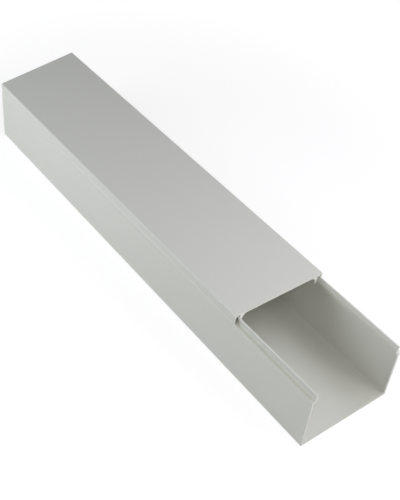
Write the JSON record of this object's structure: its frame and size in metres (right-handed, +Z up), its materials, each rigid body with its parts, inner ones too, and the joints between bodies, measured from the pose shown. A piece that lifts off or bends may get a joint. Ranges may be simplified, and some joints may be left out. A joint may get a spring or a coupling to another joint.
{
  "type": "cord cover raceway",
  "caption": "Light grey rectangular cable raceway: a U-shaped channel with snap lips and a clip-on cover drawn back from its open end.",
  "frame": {"origin": "under the middle of the channel, on the plane of its underside", "axes": "+X across the width, towards the longer side; +Y along the length, from the open end to the sawn far end; +Z up from the underside to the cover"},
  "size_m": [0.0602, 0.314, 0.04],
  "materials": {
    "channel_pvc": "satin, as extruded",
    "cover_pvc": "satin, as extruded"
  },
  "bodies": {
    "base": {"base_channel": "channel_pvc"},
    "cover": {"clip_on_cover": "cover_pvc"}
  },
  "joints": [
    {"name": "cover_slide", "type": "slide", "parent": "base", "child": "cover", "axis": [0, -1, 0], "range_m": [-0.19, 0.059]}
  ]
}
